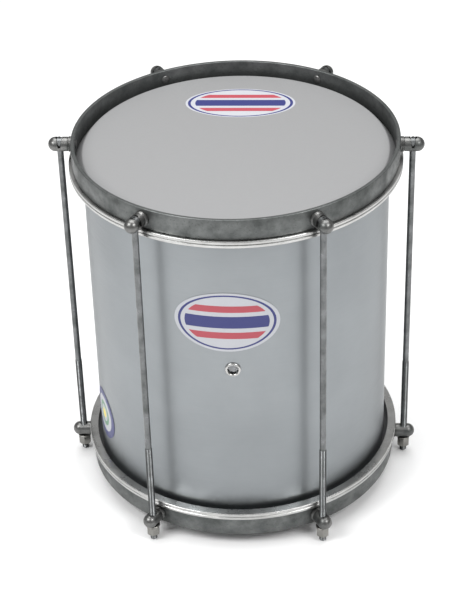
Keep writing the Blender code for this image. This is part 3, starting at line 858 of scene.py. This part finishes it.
def build_nuts(colours):
    """Tall hexagon nuts with turned chamfers and a bore."""
    low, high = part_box("tension_nut_1")
    corner = high[0] - low[0]
    tall = high[2] - low[2]
    rim = corner / 2 - NUT_CHAMFER
    drop = NUT_CHAMFER * math.tan(math.pi / 6)
    outline = [
        (0.0, tall),
        (rim, tall),
        (corner / 2, tall - drop),
        (corner / 2, drop),
        (rim, 0.0),
        (0.0, 0.0),
    ]
    nut = cylinder("nut", corner, -PAST, tall + PAST, NUT_SIDES)
    nut = combine(nut, turned("chamfers", outline, 2 * ROUND_STEPS, closed=False), "INTERSECT")
    bore = cylinder("bore", THREAD_DIAMETER + 2 * NUT_BORE_GAP, -PAST, tall + PAST)
    nut = rounded(combine(nut, bore, "DIFFERENCE"), NUT_EDGE_ROUND)
    surface = bright_metal("nut_zinc", colours.zinc, *NUT_ROUGHNESS)
    finish(nut, at_rods("tension_nut", "nut_{}_body", low[2]), surface)


def label_sheet(name, width, height, angle, level):
    """A thin curved oval that follows the shell."""
    made = bmesh.new()
    rings = LABEL_STEPS // 4
    rows = []
    for i in range(rings + 1):
        share = i / rings
        row = []
        for j in range(LABEL_STEPS):
            turn = 2 * math.pi * j / LABEL_STEPS
            across = angle + width / 2 * share * math.cos(turn) / SHELL_RADIUS
            radius = SHELL_RADIUS + LABEL_LIFT + SEAT_GAP / 2
            z = level + height / 2 * share * math.sin(turn)
            row.append(made.verts.new((radius * math.cos(across), radius * math.sin(across), z)))
            if i == 0:
                break
        rows.append(row)
    for i in range(rings):
        for j in range(LABEL_STEPS):
            after = (j + 1) % LABEL_STEPS
            if i == 0:
                made.faces.new((rows[0][0], rows[1][j], rows[1][after]))
            else:
                made.faces.new((rows[i][j], rows[i + 1][j], rows[i + 1][after], rows[i][after]))
    mesh = bpy.data.meshes.new(name)
    made.to_mesh(mesh)
    made.free()
    sheet = link(bpy.data.objects.new(name, mesh))
    thicken = sheet.modifiers.new("Paper", "SOLIDIFY")
    thicken.thickness = LABEL_LIFT
    thicken.offset = 1.0
    return sheet


def build_labels(colours):
    """The badge in front and the round seal at the side, both with plain designs."""
    level = BASE + BADGE_RISE
    half = (BADGE_WIDTH / 2, BADGE_HEIGHT / 2)
    paper = label_paper("front_badge_paper", BADGE_ANGLE, level, half, colours)
    badge = label_sheet("badge", BADGE_WIDTH, BADGE_HEIGHT, BADGE_ANGLE, level)
    finish(badge, [("front_badge", "drum", Matrix())], paper)
    seal = label_sheet("seal", SEAL_DIAMETER, SEAL_DIAMETER, SEAL_ANGLE, BASE + SEAL_RISE)
    finish(seal, [("side_seal", "drum", Matrix())], seal_paper(colours))


def add_light(name, place, target, size, power):
    """A rectangular soft light that looks at a point."""
    lamp = bpy.data.lights.new(name, "AREA")
    lamp.shape = "RECTANGLE"
    lamp.size, lamp.size_y = size
    lamp.energy = power
    made = link(bpy.data.objects.new(name, lamp))
    made.location = place
    made.rotation_euler = (Vector(target) - Vector(place)).to_track_quat("-Z", "Y").to_euler()


def build_stage(settings):
    """A pale floor, soft lights and the photograph's camera."""
    paint = Paint("pale_floor", FLOOR_ROUGHNESS, 0.0)
    grain = paint.noise(paint.place, 30.0)
    paint.colour(paint.mix(grain, *(opaque([tone] * 3) for tone in FLOOR_TONES)))
    mesh = bpy.data.meshes.new("floor")
    made = bmesh.new()
    bmesh.ops.create_grid(made, x_segments=FLOOR_SQUARES, y_segments=FLOOR_SQUARES, size=FLOOR_HALF)
    made.to_mesh(mesh)
    made.free()
    mesh.materials.append(paint.made)
    floor = link(bpy.data.objects.new("floor", mesh))
    floor.location.z = -FLOOR_DROP
    world = bpy.data.worlds.new("studio")
    world.use_nodes = True
    world.node_tree.nodes["Background"].inputs[0].default_value = (1.0, 1.0, 1.0, 1.0)
    world.node_tree.nodes["Background"].inputs[1].default_value = settings.sky_strength
    bpy.context.scene.world = world
    bpy.context.scene.view_settings.view_transform = "Standard"
    for name, (place, target, size, power) in SOFTBOXES.items():
        add_light(name, place, target, size, power * settings.lamp_strength)
    lens = bpy.data.cameras.new("camera")
    lens.sensor_fit = "HORIZONTAL"
    lens.sensor_width = SENSOR_WIDTH
    lens.lens = CAMERA_LENS
    camera = link(bpy.data.objects.new("camera", lens))
    flat = math.cos(CAMERA_PITCH)
    east, north = math.sin(CAMERA_YAW) * flat, math.cos(CAMERA_YAW) * flat
    ahead = Vector((east, north, -math.sin(CAMERA_PITCH)))
    right = ahead.cross(Vector((0, 0, 1))).normalized()
    up = right.cross(ahead)
    tilted_right = math.cos(CAMERA_ROLL) * right + math.sin(CAMERA_ROLL) * up
    tilted_up = -math.sin(CAMERA_ROLL) * right + math.cos(CAMERA_ROLL) * up
    turn = Matrix((tilted_right, tilted_up, -ahead)).transposed().to_4x4()
    camera.matrix_world = Matrix.Translation(CAMERA_PLACE) @ turn
    bpy.context.scene.camera = camera


def colour_property(name, description, default):
    """A colour that the user can change."""
    return bpy.props.FloatVectorProperty(
        name=name, description=description, default=default, subtype="COLOR", min=0.0, max=1.0
    )


class DrumColours(bpy.types.PropertyGroup):
    """The drum's finishes."""

    shell: colour_property("Shell", "Satin aluminium of the shell", (0.275, 0.292, 0.303))
    bright: colour_property("Bright metal", "Flesh hoops and vent", (0.52, 0.52, 0.51))
    hoop: colour_property("Counterhoops", "Dull plating of the counterhoops", (0.165, 0.172, 0.17))
    hoop_spots: colour_property("Patina", "Darker patches of the plating", (0.09, 0.096, 0.094))
    lug: colour_property("Lugs", "Plating of the lugs", (0.19, 0.188, 0.184))
    rod: colour_property("Rods", "Plating of the rods", (0.19, 0.195, 0.2))
    zinc: colour_property("Nuts", "Zinc of the nuts and washers", (0.27, 0.265, 0.25))
    film: colour_property("Heads", "Milky film of the heads", (0.232, 0.233, 0.236))
    label_ground: colour_property("Label ground", "Ground of the labels", (0.42, 0.43, 0.46))
    print_red: colour_property("Print red", "Red of the plain design", (0.36, 0.05, 0.07))
    print_navy: colour_property("Print navy", "Navy of the plain design", (0.02, 0.025, 0.14))
    seal_green: colour_property("Seal green", "Green ring of the seal", (0.08, 0.22, 0.12))
    seal_yellow: colour_property("Seal yellow", "Middle of the seal", (0.75, 0.62, 0.08))


class DrumSettings(bpy.types.PropertyGroup):
    """The drum's sizes and the stage's light."""

    thread_pitch: bpy.props.FloatProperty(
        name="Thread pitch",
        description="Pitch of the rods' thread",
        default=0.001,
        min=0.0005,
        max=0.002,
        unit="LENGTH",
        precision=5,
    )
    sky_strength: bpy.props.FloatProperty(
        name="Sky strength",
        description="Light from all round",
        default=0.45,
        min=0.0,
        max=3.0,
    )
    lamp_strength: bpy.props.FloatProperty(
        name="Lamp strength",
        description="Share of the softboxes' power",
        default=1.0,
        min=0.0,
        max=5.0,
    )


class AddShell(bpy.types.Operator):
    """Add the shell and its vent"""

    bl_idname = "repinique.add_shell"
    bl_label = "Shell and vent"

    def execute(self, context):
        """Build the pieces."""
        build_shell(context.scene.drum_colours)
        build_vent(context.scene.drum_colours)
        return {"FINISHED"}


class AddHeads(bpy.types.Operator):
    """Add the two film heads and their flesh hoops"""

    bl_idname = "repinique.add_heads"
    bl_label = "Heads"

    def execute(self, context):
        """Build the pieces."""
        build_heads(context.scene.drum_colours)
        build_flesh_hoops(context.scene.drum_colours)
        return {"FINISHED"}


class AddCounterhoops(bpy.types.Operator):
    """Add the two counterhoops"""

    bl_idname = "repinique.add_counterhoops"
    bl_label = "Counterhoops"

    def execute(self, context):
        """Build the pieces."""
        build_counterhoops(context.scene.drum_colours)
        return {"FINISHED"}


class AddLugs(bpy.types.Operator):
    """Add the upper and lower lugs"""

    bl_idname = "repinique.add_lugs"
    bl_label = "Lugs"

    def execute(self, context):
        """Build the pieces."""
        build_lugs(context.scene.drum_colours)
        return {"FINISHED"}


class AddRods(bpy.types.Operator):
    """Add the threaded tension rods"""

    bl_idname = "repinique.add_rods"
    bl_label = "Tension rods"

    def execute(self, context):
        """Build the pieces."""
        build_rods(context.scene.drum_colours, context.scene.drum_settings.thread_pitch)
        return {"FINISHED"}


class AddNuts(bpy.types.Operator):
    """Add the washers and the tuning nuts"""

    bl_idname = "repinique.add_nuts"
    bl_label = "Washers and nuts"

    def execute(self, context):
        """Build the pieces."""
        build_washers(context.scene.drum_colours)
        build_nuts(context.scene.drum_colours)
        return {"FINISHED"}


class AddLabels(bpy.types.Operator):
    """Add the badge and the seal"""

    bl_idname = "repinique.add_labels"
    bl_label = "Labels"

    def execute(self, context):
        """Build the pieces."""
        build_labels(context.scene.drum_colours)
        return {"FINISHED"}


class AddStage(bpy.types.Operator):
    """Add the floor, the lights and the camera"""

    bl_idname = "repinique.add_stage"
    bl_label = "Stage"

    def execute(self, context):
        """Build the stage."""
        build_stage(context.scene.drum_settings)
        return {"FINISHED"}


OPERATORS = (AddShell, AddHeads, AddCounterhoops, AddLugs, AddRods, AddNuts, AddLabels, AddStage)


class DrumPanel(bpy.types.Panel):
    """Lists the drum's pieces"""

    bl_idname = "VIEW3D_PT_repinique"
    bl_label = "Repinique"
    bl_space_type = "VIEW_3D"
    bl_region_type = "UI"
    bl_category = "Repinique"

    def draw(self, context):
        """Draw a button for each operator."""
        for operator in OPERATORS:
            self.layout.operator(operator.bl_idname)


CLASSES = (DrumColours, DrumSettings, *OPERATORS, DrumPanel)


def register():
    """Register the classes and the scene's properties."""
    for item in CLASSES:
        bpy.utils.register_class(item)
    bpy.types.Scene.drum_colours = bpy.props.PointerProperty(type=DrumColours)
    bpy.types.Scene.drum_settings = bpy.props.PointerProperty(type=DrumSettings)


def unregister():
    """Remove the scene's properties and the classes."""
    del bpy.types.Scene.drum_settings
    del bpy.types.Scene.drum_colours
    for item in reversed(CLASSES):
        bpy.utils.unregister_class(item)


def plain(box):
    """A box as plain lists."""
    return [[float(number) for number in corner] for corner in box]


def main():
    """Build the drum and the stage."""
    register()
    for operator in OPERATORS:
        group, name = operator.bl_idname.split(".")
        getattr(getattr(bpy.ops, group), name)()


if __name__ == "__main__":
    main()
